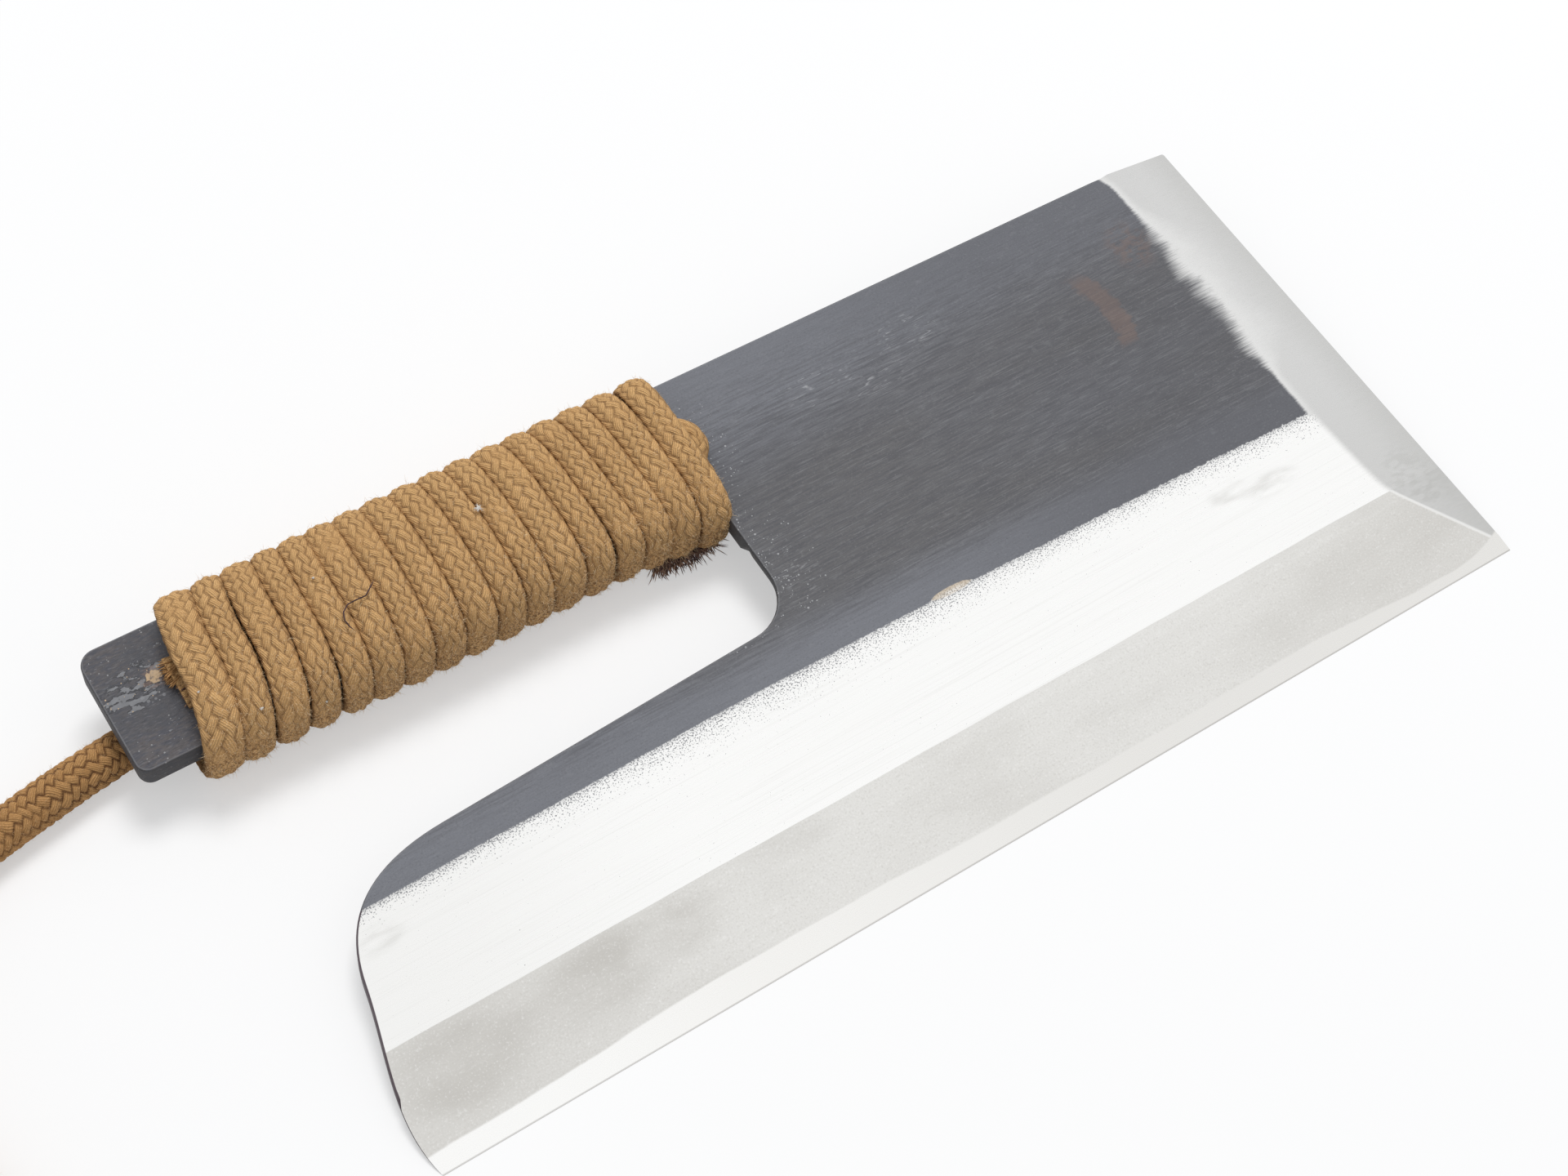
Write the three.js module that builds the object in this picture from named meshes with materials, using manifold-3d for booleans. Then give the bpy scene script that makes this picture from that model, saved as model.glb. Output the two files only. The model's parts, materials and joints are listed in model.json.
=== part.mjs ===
// A soba knife: a broad laminated blade whose tang runs back over the edge, wound with braided cord.
// Millimetres. The blade is drawn flat, with X along the cutting edge from heel to toe, Y from the
// edge to the spine and Z = 0 on the flat back, then leaned so that it lies on the edge and the grip.

import * as THREE from 'three';
import { mergeVertices } from 'three/addons/utils/BufferGeometryUtils.js';
import Module from 'manifold-3d';

// Blade: plan
const edgeLength = 240;
const bladeHeight = 114;
const heelSwell = 3.2;
const heelFullness = 0.62;
const heelFlankInset = 4.2;
const heelFlankHeight = 34;
const heelShoulderReach = 30;
const heelShoulderHeight = 53.7;
const notchFloorHeight = 57.8;
const notchWall = 107;
const notchRadius = 9.4;
const toeCornerRadius = 0.5;

// Blade: thickness
const spineThickness = 4.5;
const shoulderHeight = 47.5;
const shoulderThickness = 3.4;
const bevelHeight = 22.5;
const bevelThickness = 2.8;
const toeFacetLength = 16;
const toeFacetDrop = 2.2;

// Hard-steel layer
const steelThickness = 0.5;
const steelHeight = 40;

// Tang
const tangHeight = 26.7;
const tangOverhang = 10.3;
const tangDrop = 1.5;
const tangButtCorner = 3.4;
const tangHeelCorner = 2.4;
const tangEdgeChamfer = 1;
const tangRampLength = 12;
const shoulderReliefDepth = 1.6;
const shoulderReliefHeight = 4.4;

// Grip cord as wound
const turns = 17;
const firstTurn = 6;
const turnPitch = 6.275;
const cordWidth = 5.6;
const cordThickness = 4.2;
const cordThicknessAtSides = 2.9;
const gripSquareness = 3.4;
const stepsPerTurn = 24;
const cordSides = 6;

// Cords trapped under the turns
const bightThickness = 1.8;
const bightLegWidth = 6.4;
const bightLegGap = 0.5;
const bightReach = 4.2;
const bightTuft = 1.6;
const runThickness = 2.6;
const runWidth = 9;
const runEnd = 86;
const padRounding = 0.6;

// Free tail
const tailDiameter = 8.4;
const tailSides = 10;
const tailSteps = 12;

// Fits
const seatGap = 0.3;
const layerGap = 0.45;

const wasm = await Module();
wasm.setup();

function toSolid(geometry) {
  const bare = geometry.clone();
  bare.deleteAttribute('normal');
  bare.deleteAttribute('uv');
  const merged = mergeVertices(bare, 1e-4);
  return new wasm.Manifold(new wasm.Mesh({
    numProp: 3,
    vertProperties: new Float32Array(merged.attributes.position.array),
    triVerts: new Uint32Array(merged.index.array),
  }));
}

function toGeometry(solid) {
  const mesh = solid.getMesh();
  const geometry = new THREE.BufferGeometry();
  geometry.setAttribute('position', new THREE.BufferAttribute(mesh.vertProperties, 3));
  geometry.setIndex(new THREE.BufferAttribute(mesh.triVerts, 1));
  return geometry;
}

function outline(points) {
  return new THREE.Shape(points.map(([x, y]) => new THREE.Vector2(x, y)));
}

// A plan outline given a thickness from one height to another.
function slab(shape, low, high, curveSegments = 8) {
  const settings = { depth: high - low, bevelEnabled: false, curveSegments };
  return new THREE.ExtrudeGeometry(shape, settings).translate(0, 0, low);
}

// A section in the YZ plane drawn out along X.
function barAlongX(section, from, to) {
  const bar = new THREE.ExtrudeGeometry(outline(section), { depth: to - from, bevelEnabled: false });
  const turned = new THREE.Matrix4().makeBasis(
    new THREE.Vector3(0, 1, 0), new THREE.Vector3(0, 0, 1), new THREE.Vector3(1, 0, 0));
  return bar.applyMatrix4(turned).translate(from, 0, 0);
}

// A section in the XZ plane drawn out along Y.
function barAlongY(section, from, to) {
  const bar = new THREE.ExtrudeGeometry(outline(section), { depth: to - from, bevelEnabled: false });
  return bar.rotateX(Math.PI / 2).translate(0, to, 0);
}

function namedMesh(name, geometry, color, roughness, metalness) {
  const material = new THREE.MeshStandardMaterial({ color, roughness, metalness });
  const mesh = new THREE.Mesh(geometry, material);
  mesh.name = name;
  return mesh;
}

// Places that several pieces share
const tangBottomEdge = bladeHeight - tangHeight;
const buttEnd = -tangOverhang;
const faceSlope = (spineThickness - shoulderThickness) / (bladeHeight - shoulderHeight);
const gripMiddle = bladeHeight - tangHeight / 2;
const tangTop = spineThickness - faceSlope * tangHeight / 2;
const roomBeyond = 20;

// The whole silhouette: edge, toe, spine and tang, then the finger notch back to the heel.
function bladeOutline() {
  const reliefWall = notchWall + shoulderReliefDepth;
  const shape = new THREE.Shape();
  shape.moveTo(0, 0);
  shape.lineTo(edgeLength, 0);
  shape.lineTo(edgeLength, bladeHeight - toeCornerRadius);
  shape.absarc(edgeLength - toeCornerRadius, bladeHeight - toeCornerRadius, toeCornerRadius,
    0, Math.PI / 2, false);
  shape.lineTo(buttEnd + tangButtCorner, bladeHeight);
  shape.absarc(buttEnd + tangButtCorner, bladeHeight - tangButtCorner, tangButtCorner,
    Math.PI / 2, Math.PI, false);
  shape.lineTo(buttEnd, tangBottomEdge + tangHeelCorner);
  shape.absarc(buttEnd + tangHeelCorner, tangBottomEdge + tangHeelCorner, tangHeelCorner,
    Math.PI, 1.5 * Math.PI, false);
  shape.lineTo(reliefWall, tangBottomEdge);
  shape.lineTo(reliefWall, tangBottomEdge - shoulderReliefHeight + shoulderReliefDepth);
  shape.lineTo(notchWall, tangBottomEdge - shoulderReliefHeight);
  shape.lineTo(notchWall, notchFloorHeight + notchRadius);
  shape.quadraticCurveTo(notchWall, notchFloorHeight, notchWall - notchRadius, notchFloorHeight);
  shape.lineTo(heelShoulderReach, heelShoulderHeight);
  const run = (heelShoulderReach - heelFlankInset) * heelFullness;
  const drop = (heelShoulderHeight - heelFlankHeight) * heelFullness;
  const floorSlope = (notchFloorHeight - heelShoulderHeight) / (notchWall - notchRadius - heelShoulderReach);
  const flankSlope = 1.5 * heelFlankInset / heelFlankHeight;
  shape.bezierCurveTo(
    heelShoulderReach - run, heelShoulderHeight - run * floorSlope,
    heelFlankInset + drop * flankSlope, heelFlankHeight + drop,
    heelFlankInset, heelFlankHeight);
  shape.bezierCurveTo(
    heelFlankInset - flankSlope * heelFlankHeight / 3, heelFlankHeight * 2 / 3,
    -heelSwell, heelFlankHeight / 3,
    0, 0);
  return shape;
}

// The front face falls in flats from the spine to the edge; the back is flat and clad in hard steel.
function buildBladeAndSteel() {
  const silhouette = toSolid(slab(bladeOutline(), -tangDrop, spineThickness, 12));
  const steelShowsTo = bevelHeight * steelThickness / bevelThickness;
  const left = buttEnd - roomBeyond;
  const right = edgeLength + roomBeyond;
  const ironSection = [
    [steelShowsTo, steelThickness],
    [steelHeight, steelThickness],
    [steelHeight, 0],
    [bladeHeight, 0],
    [bladeHeight, spineThickness],
    [shoulderHeight, shoulderThickness],
    [bevelHeight, bevelThickness],
  ];
  const steelSection = [
    [0, 0],
    [steelHeight, 0],
    [steelHeight, steelThickness],
    [steelShowsTo, steelThickness],
  ];

  // The tang is thicker than the blade: its under side steps down and ramps back up at the root.
  const rampEnd = notchWall;
  const tangSection = [
    [left, tangTop / 2],
    [left, -tangDrop],
    [rampEnd - tangRampLength, -tangDrop],
    [rampEnd, 0],
    [rampEnd, tangTop / 2],
  ];
  const tangKeel = toSolid(barAlongY(tangSection, tangBottomEdge, bladeHeight));

  // A shallow flat ground across the toe.
  const cutterTop = spineThickness + roomBeyond;
  const facetSlope = toeFacetDrop / toeFacetLength;
  const facetReach = roomBeyond + toeFacetLength;
  const facetBlock = barAlongX([
    [-roomBeyond, spineThickness - faceSlope * (bladeHeight + roomBeyond)],
    [bladeHeight + roomBeyond, spineThickness + faceSlope * roomBeyond],
    [bladeHeight + roomBeyond, cutterTop],
    [-roomBeyond, cutterTop],
  ], 0, facetReach);
  const facetShear = new THREE.Matrix4().set(
    1, 0, 0, edgeLength - toeFacetLength,
    0, 1, 0, 0,
    -facetSlope, 0, 1, 0,
    0, 0, 0, 1);
  const toeCutter = toSolid(facetBlock.applyMatrix4(facetShear));

  // The four long edges of the tang are broken so that the cord can turn over them.
  const chamferBar = (y, z) => toSolid(barAlongX([
    [y - tangEdgeChamfer, z],
    [y, z - tangEdgeChamfer],
    [y + tangEdgeChamfer, z],
    [y, z + tangEdgeChamfer],
  ], left, notchWall));
  const lowerTop = spineThickness - faceSlope * tangHeight;

  let iron = toSolid(barAlongX(ironSection, left, right)).add(tangKeel).intersect(silhouette);
  iron = iron.subtract(toeCutter);
  for (const [y, z] of [
    [bladeHeight, spineThickness], [bladeHeight, -tangDrop],
    [tangBottomEdge, lowerTop], [tangBottomEdge, -tangDrop],
  ]) iron = iron.subtract(chamferBar(y, z));
  const steel = toSolid(barAlongX(steelSection, left, right)).intersect(silhouette);
  return [
    namedMesh('blade_body', toGeometry(iron), 0x55585d, 0.5, 0.85),
    namedMesh('edge_steel', toGeometry(steel), 0xc9cacb, 0.25, 1),
  ];
}

// Heights at which the cords lie on the tang, from the faces outwards.
const bightLow = tangTop + faceSlope * tangHeight / 4 + seatGap;
const bightHigh = bightLow + bightThickness;
const runHigh = -tangDrop - seatGap;
const runLow = runHigh - runThickness;
const windingHigh = bightHigh + layerGap + cordThickness / 2;
const windingLow = runLow - layerGap - cordThickness / 2;
const windingHalfWidth = tangHeight / 2 + seatGap + cordThicknessAtSides / 2;
const windingHalfHeight = (windingHigh - windingLow) / 2;
const windingCentre = (windingHigh + windingLow) / 2;

// One ring of the grip cord. Turns are counted from the middle of the under side; the cord rises on
// the edge side, crosses the upper face towards the spine and goes down behind it.
function windingRing(turn) {
  const angle = -Math.PI / 2 - turn * 2 * Math.PI;
  const across = Math.cos(angle);
  const up = Math.sin(angle);
  const power = 2 / gripSquareness;
  const y = gripMiddle + windingHalfWidth * Math.sign(across) * Math.abs(across) ** power;
  const z = windingCentre + windingHalfHeight * Math.sign(up) * Math.abs(up) ** power;
  const outwards = new THREE.Vector3(0,
    Math.sign(across) * Math.abs(across) ** (2 - power) / windingHalfWidth,
    Math.sign(up) * Math.abs(up) ** (2 - power) / windingHalfHeight).normalize();
  const centre = new THREE.Vector3(firstTurn + turnPitch * (turn - 0.5), y, z);
  const halfThickness = THREE.MathUtils.lerp(cordThicknessAtSides, cordThickness, Math.abs(up)) / 2;
  return cordRing(centre, outwards, halfThickness);
}

function cordRing(centre, outwards, halfThickness) {
  const ring = [];
  for (let side = 0; side < cordSides; side += 1) {
    const angle = -side * 2 * Math.PI / cordSides;
    ring.push(centre.clone()
      .addScaledVector(outwards, halfThickness * Math.sin(angle))
      .add(new THREE.Vector3(cordWidth / 2 * Math.cos(angle), 0, 0)));
  }
  return ring;
}

// The rings of the whole winding, with a straight run of one cord width at each end.
function windingRings() {
  const rings = [];
  const down = new THREE.Vector3(0, 0, -1);
  const endRing = (turn, y) => cordRing(
    new THREE.Vector3(firstTurn + turnPitch * (turn - 0.5), y, windingLow), down, cordThickness / 2);
  rings.push(endRing(0, gripMiddle + cordWidth));
  for (let step = 0; step <= turns * stepsPerTurn; step += 1) rings.push(windingRing(step / stepsPerTurn));
  rings.push(endRing(turns, gripMiddle - cordWidth));
  return rings;
}

// Rings joined into one closed tube, with flat ends.
function tubeFromRings(rings) {
  const sides = rings[0].length;
  const positions = rings.flat().flatMap((point) => point.toArray());
  const index = [];
  for (let ring = 0; ring + 1 < rings.length; ring += 1) {
    for (let side = 0; side < sides; side += 1) {
      const a = ring * sides + side;
      const b = ring * sides + (side + 1) % sides;
      index.push(a, b, a + sides, b, b + sides, a + sides);
    }
  }
  const last = (rings.length - 1) * sides;
  for (let side = 1; side + 1 < sides; side += 1) {
    index.push(0, side + 1, side);
    index.push(last, last + side, last + side + 1);
  }
  const geometry = new THREE.BufferGeometry();
  geometry.setAttribute('position', new THREE.Float32BufferAttribute(positions, 3));
  geometry.setIndex(index);
  return geometry;
}

// The least distance between neighbouring turns, taken on the points of their rings.
function leastTurnGap(rings) {
  let least = Infinity;
  for (let ring = 0; ring < rings.length; ring += 1) {
    const last = Math.min(rings.length, ring + stepsPerTurn * 3 / 2);
    for (let other = ring + stepsPerTurn / 2; other < last; other += 1) {
      for (const a of rings[ring]) for (const b of rings[other]) least = Math.min(least, a.distanceTo(b));
    }
  }
  return least;
}

// A flat pad of cord, pressed under the turns, with its edges rounded.
function pressedCord(shape, low, thickness) {
  return new THREE.ExtrudeGeometry(shape, {
    depth: thickness - 2 * padRounding,
    bevelThickness: padRounding,
    bevelSize: padRounding,
    bevelOffset: -padRounding,
    bevelSegments: 2,
    curveSegments: 10,
  }).translate(0, 0, low + padRounding);
}

// The doubled cord on the upper face: two legs from the butt and the bend that shows past the turns.
function buildLaidBight() {
  const start = firstTurn - cordWidth / 2 - bightTuft;
  const lastTurn = firstTurn + turnPitch * (turns - 1);
  const inner = bightLegGap / 2;
  const outer = inner + bightLegWidth;
  const bend = lastTurn + cordWidth / 2 + bightReach - outer;
  const shape = new THREE.Shape();
  shape.moveTo(start, gripMiddle - outer);
  shape.lineTo(bend, gripMiddle - outer);
  shape.absarc(bend, gripMiddle, outer, -Math.PI / 2, Math.PI / 2, false);
  shape.lineTo(start, gripMiddle + outer);
  shape.lineTo(start, gripMiddle + inner);
  shape.lineTo(bend, gripMiddle + inner);
  shape.absarc(bend, gripMiddle, inner, Math.PI / 2, -Math.PI / 2, true);
  shape.lineTo(start, gripMiddle - inner);
  const geometry = pressedCord(shape, bightLow, bightThickness);
  return namedMesh('laid_bight', geometry, 0x9a7443, 0.95, 0);
}

// The lanyard under the tang, from the butt to its end among the turns.
function buildLanyardRun() {
  const half = runWidth / 2;
  const shape = outline([
    [buttEnd, gripMiddle - half],
    [runEnd, gripMiddle - half],
    [runEnd, gripMiddle + half],
    [buttEnd, gripMiddle + half],
  ]);
  const geometry = pressedCord(shape, runLow, runThickness);
  return namedMesh('lanyard_run', geometry, 0x7d5a31, 0.95, 0);
}

// The free tail lies on the surface that the knife lies on: how far left of the butt, and how far
// from the middle of the grip towards the edge.
function buildLanyardTail(lowestZ) {
  const route = [
    [0.9, 2.4], [9, 3.9], [19, 5.9], [30, 8.6], [41, 13.5], [50, 22],
    [55, 33], [56.5, 45], [55, 57], [52.5, 69], [51.5, 79],
  ];
  const points = route.map(([out, aside]) => new THREE.Vector3(buttEnd - out, gripMiddle - aside, lowestZ));
  const curve = new THREE.CatmullRomCurve3(points, false, 'centripetal');
  const section = new THREE.Shape().absarc(0, 0, tailDiameter / 2, 0, 2 * Math.PI, false);
  const geometry = new THREE.ExtrudeGeometry(section, {
    extrudePath: curve, steps: tailSteps, curveSegments: tailSides, bevelEnabled: false,
  });
  return namedMesh('lanyard_tail', geometry, 0x8a6537, 0.95, 0);
}

const rings = windingRings();
console.log(`least gap between turns of the grip cord: ${leastTurnGap(rings).toFixed(2)} mm`);
const winding = namedMesh('grip_winding', tubeFromRings(rings), 0xa87f49, 0.95, 0);

// The lean that brings the grip down onto the surface that the edge lies on.
const lean = Math.max(...rings.flat().map((point) => Math.atan2(-point.z, point.y)));

const knife = new THREE.Group();
knife.add(...buildBladeAndSteel(), winding, buildLaidBight(), buildLanyardRun());
knife.rotation.x = lean;

const assembly = new THREE.Group();
assembly.add(knife);
assembly.updateMatrixWorld(true);
const box = new THREE.Box3().setFromObject(knife, true);
assembly.add(buildLanyardTail(box.min.z + tailDiameter / 2));
assembly.position.set(-(box.min.x + box.max.x) / 2, -(box.min.y + box.max.y) / 2, -box.min.z);

const part = new THREE.Group();
part.add(assembly);

export default part;
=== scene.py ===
import json
import math

import bmesh
import bpy
import numpy as np
from mathutils import Matrix, Vector
from mathutils.geometry import interpolate_bezier


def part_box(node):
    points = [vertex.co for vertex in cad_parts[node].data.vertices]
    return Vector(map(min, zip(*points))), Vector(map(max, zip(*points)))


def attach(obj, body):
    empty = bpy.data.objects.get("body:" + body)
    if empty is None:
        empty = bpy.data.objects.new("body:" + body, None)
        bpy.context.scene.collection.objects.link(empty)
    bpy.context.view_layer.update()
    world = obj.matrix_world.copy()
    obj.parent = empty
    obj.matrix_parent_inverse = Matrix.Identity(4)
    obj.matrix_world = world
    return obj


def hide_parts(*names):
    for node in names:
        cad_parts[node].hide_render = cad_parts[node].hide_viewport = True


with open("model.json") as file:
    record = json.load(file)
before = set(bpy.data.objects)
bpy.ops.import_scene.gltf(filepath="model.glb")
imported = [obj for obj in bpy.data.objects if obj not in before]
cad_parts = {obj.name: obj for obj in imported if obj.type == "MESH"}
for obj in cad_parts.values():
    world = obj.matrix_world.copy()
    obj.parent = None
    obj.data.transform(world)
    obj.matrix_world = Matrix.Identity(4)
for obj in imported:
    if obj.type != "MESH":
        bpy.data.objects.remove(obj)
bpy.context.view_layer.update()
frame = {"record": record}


# Blank: a laminated forging, soft iron with a thin layer of hard steel welded to its flat side.
# It is drawn flat in millimetres, u along the edge from heel to toe, v from the edge to the spine and
# z up from the flat back, and is then leaned as the finished knife lies, on its edge and its grip.
MILLIMETRE = 0.001
edge_length = 240
blade_height = 114
tang_height = 26.7
tang_overhang = 10.3
tang_low_side = blade_height - tang_height
notch_wall = 107
notch_floor = 57.8
relief_depth = 1.6
relief_height = 4.4
heel_shoulder = (30, 53.7)
heel_flank = (4.2, 34)
heel_swell = 3.2
heel_fullness = 0.62
heel_flank_lean = 1.5
heel_steps = 24
swell_steps = 20
spine_thickness = 4.5
shoulder_height = 47.5
shoulder_thickness = 3.4
bevel_height = 22.5
bevel_thickness = 2.8
toe_facet_length = 16
toe_facet_drop = 2.2
edge_land = 0.05
toe_rounding = 0.5
butt_spine_rounding = 3.4
butt_low_rounding = 2.4
notch_rounding = 9.4
sharp_beyond = 220
undercut_below = 73
undercut_end = 76.5
cut_tolerance = 1e-5

back_axis = next(m["axis"] for m in frame["record"]["mounts"] if m["name"] == "flat_back")
lean = math.asin(back_axis[1])
steel_low, steel_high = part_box("edge_steel")
heel_point = Vector((steel_high.x - edge_length * MILLIMETRE, steel_low.y, steel_low.z))
blade_place = (
    Matrix.Translation(heel_point)
    @ Matrix.Rotation(lean, 4, "X")
    @ Matrix.Scale(MILLIMETRE, 4)
)


def heel_curve():
    """The heel from the floor of the finger notch down to the cutting edge."""
    shoulder, flank_shade = Vector((*heel_shoulder, 0)), Vector((*heel_flank, 0))
    reach = (shoulder.x - flank_shade.x) * heel_fullness
    drop = (shoulder.y - flank_shade.y) * heel_fullness
    floor_slope = (notch_floor - shoulder.y) / (notch_wall - shoulder.x)
    flank_slope = heel_flank_lean * flank_shade.x / flank_shade.y
    round_of_heel = interpolate_bezier(
        shoulder,
        shoulder - reach * Vector((1, floor_slope, 0)),
        flank_shade + drop * Vector((flank_slope, 1, 0)),
        flank_shade,
        heel_steps,
    )
    swell_to_edge = interpolate_bezier(
        flank_shade,
        flank_shade - flank_shade.y / 3 * Vector((flank_slope, 1, 0)),
        Vector((-heel_swell, flank_shade.y / 3, 0)),
        Vector((0, 0, 0)),
        swell_steps,
    )
    return round_of_heel[:-1] + swell_to_edge[:-1]


def grind(bm, point, normal):
    """Takes off all that stands outside a plane and closes the cut with a flat."""
    everything = bm.verts[:] + bm.edges[:] + bm.faces[:]
    cut = bmesh.ops.bisect_plane(
        bm, geom=everything, dist=cut_tolerance, plane_co=point, plane_no=normal, clear_outer=True
    )
    rim = [piece for piece in cut["geom_cut"] if isinstance(piece, bmesh.types.BMEdge)]
    bmesh.ops.edgeloop_fill(bm, edges=rim)


def forged_blank():
    """The outline cut from sheet, its corners rounded, with the flats of the front face ground on."""
    corners = [
        (0, 0, 0),
        (edge_length, 0, 0),
        (edge_length, blade_height, toe_rounding),
        (sharp_beyond, blade_height, 0),
        (-tang_overhang, blade_height, butt_spine_rounding),
        (-tang_overhang, tang_low_side, butt_low_rounding),
        (notch_wall + relief_depth, tang_low_side, 0),
        (notch_wall + relief_depth, tang_low_side - relief_height + relief_depth, 0),
        (notch_wall, tang_low_side - relief_height, 0),
        (notch_wall, undercut_end, 0),
        (notch_wall, undercut_below, 0),
        (notch_wall, notch_floor, notch_rounding),
    ]
    bm = bmesh.new()
    outline = [bm.verts.new((u, v, 0)) for u, v, _ in corners]
    rounded = [(vert, corner[2]) for vert, corner in zip(outline, corners) if corner[2]]
    outline += [bm.verts.new(point) for point in heel_curve()]
    bm.faces.new(outline)
    for vert, rounding in rounded:
        bmesh.ops.bevel(
            bm, geom=[vert], offset=rounding, affect="VERTICES", segments=10, profile=0.5, material=-1
        )
    raised = bmesh.ops.extrude_face_region(bm, geom=bm.faces[:])["geom"]
    top = [piece for piece in raised if isinstance(piece, bmesh.types.BMVert)]
    bmesh.ops.translate(bm, verts=top, vec=(0, 0, 2 * spine_thickness))
    bmesh.ops.recalc_face_normals(bm, faces=bm.faces[:])

    face_slope = (spine_thickness - shoulder_thickness) / (blade_height - shoulder_height)
    band_slope = (shoulder_thickness - bevel_thickness) / (shoulder_height - bevel_height)
    bevel_slope = (bevel_thickness - edge_land) / bevel_height
    toe_slope = toe_facet_drop / toe_facet_length
    facet_start = edge_length - toe_facet_length
    grind(bm, (0, blade_height, spine_thickness), (0, -face_slope, 1))
    grind(bm, (0, bevel_height, bevel_thickness), (0, -band_slope, 1))
    grind(bm, (0, 0, edge_land), (0, -bevel_slope, 1))
    grind(bm, (facet_start, blade_height, spine_thickness), (toe_slope, -face_slope, 1))
    return bm


def mesh_from(name, bm):
    """The mesh of a bmesh that is done with."""
    mesh = bpy.data.meshes.new(name)
    bm.to_mesh(mesh)
    bm.free()
    return mesh


def linked(name, data):
    """An object at the origin that shows a mesh, or carries a lamp or a camera."""
    made = bpy.data.objects.new(name, data)
    bpy.context.scene.collection.objects.link(made)
    return made


def finished_piece(name, bm, material, node):
    """A bmesh in blade millimetres becomes an object in the frame that stands for a node."""
    bmesh.ops.transform(bm, matrix=blade_place, verts=bm.verts[:])
    piece = linked(name, mesh_from(name, bm))
    piece.data.materials.append(material)
    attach(piece, "root")
    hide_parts(node)


# Finish of the blade: black forge scale brushed lengthwise above the shoulder, a polished band below
# it, a blasted bevel, a bright strip of hard steel at the edge and a satin flat ground across the toe.
class Paint:
    """A value on its way through a finish: sums on it add Math nodes."""

    def __init__(self, tree, socket=None):
        self.tree = tree
        self.socket = socket

    def node(self, kind, settings=None, sockets=None, output=0):
        made = self.tree.nodes.new("ShaderNode" + kind)
        for name, value in (settings or {}).items():
            setattr(made, name, value)
        for name, value in (sockets or {}).items():
            if isinstance(value, Paint):
                self.tree.links.new(value.socket, made.inputs[name])
            else:
                made.inputs[name].default_value = value
        return Paint(self.tree, made.outputs[output])

    def output(self, name):
        """Another output of the node that this value comes from."""
        return Paint(self.tree, self.socket.node.outputs[name])

    def parts(self):
        """The three numbers of these coordinates."""
        split = self.node("SeparateXYZ", {}, {0: self})
        return split, split.output("Y"), split.output("Z")

    def sum(self, operation, *values):
        return self.node("Math", {"operation": operation}, dict(enumerate(values)))

    def __add__(self, other):
        return self.sum("ADD", self, other)

    def __radd__(self, other):
        return self.sum("ADD", other, self)

    def __sub__(self, other):
        return self.sum("SUBTRACT", self, other)

    def __rsub__(self, other):
        return self.sum("SUBTRACT", other, self)

    def __mul__(self, other):
        return self.sum("MULTIPLY", self, other)

    def __rmul__(self, other):
        return self.sum("MULTIPLY", other, self)

    def __truediv__(self, other):
        return self.sum("DIVIDE", self, other)

    def __rtruediv__(self, other):
        return self.sum("DIVIDE", other, self)

    def __abs__(self):
        return self.sum("ABSOLUTE", self)

    def fade(self, low, high):
        """0 at low, 1 at high, smooth between them."""
        settings = {"interpolation_type": "SMOOTHSTEP"}
        return self.node("MapRange", settings, {0: self, 1: low, 2: high})

    def mixed(self, share, below, above, blend="MIX"):
        """Two colours in one. A Mix node's colour sockets go by number, as their names repeat."""
        settings = {"data_type": "RGBA", "blend_type": blend}
        return self.node("Mix", settings, {0: share, 6: below, 7: above}, 2)

    def over(self, below, above):
        """The colour above, laid on the colour below where this mask is 1."""
        return self.mixed(self, below, above)

    def stretched(self, stretch, turn=0.0):
        """These coordinates turned about z and drawn out, for a pattern of that grain."""
        sockets = {"Vector": self, "Scale": stretch, "Rotation": (0, 0, turn)}
        return self.node("Mapping", {"vector_type": "POINT"}, sockets)

    def noise(self, stretch, detail=2.0, turn=0.0):
        sockets = {"Vector": self.stretched(stretch, turn), "Scale": 1.0, "Detail": detail}
        return self.node("TexNoise", {}, sockets)

    def specks(self, size, smallest, largest):
        """Dots of uneven size, one to a cell, and a number that differs from dot to dot."""
        sockets = {"Vector": self.stretched((1 / size,) * 3), "Scale": 1.0}
        reach = self.node("TexVoronoi", {}, sockets)
        chance = self.node("SeparateColor", {}, {0: reach.output("Color")})
        radius = chance.output(1) * ((largest - smallest) / size) + smallest / size
        return (radius - reach).fade(0.0, 0.03), chance

    def spot(self, u, v, width, height):
        """1 in the middle of an oval patch on the blade, 0 from its rim on."""
        through = 1e6
        sockets = {"Vector": self, "Location": (u, v, 0), "Scale": (width, height, through)}
        near = self.node("Mapping", {"vector_type": "TEXTURE"}, sockets)
        return self.node("VectorMath", {"operation": "LENGTH"}, {0: near}, "Value").fade(1.0, 0.3)


def new_finish(name):
    material = bpy.data.materials.new(name)
    material.use_nodes = True
    return material, Paint(material.node_tree)


def coat(material, **looks):
    """Sets the surface's own sockets, from a number, a colour or a painted value."""
    surface = material.node_tree.nodes["Principled BSDF"]
    for name, look in looks.items():
        socket = surface.inputs[name.replace("_", " ").title().replace("Ior", "IOR")]
        if isinstance(look, Paint):
            material.node_tree.links.new(look.socket, socket)
        else:
            socket.default_value = look


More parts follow.
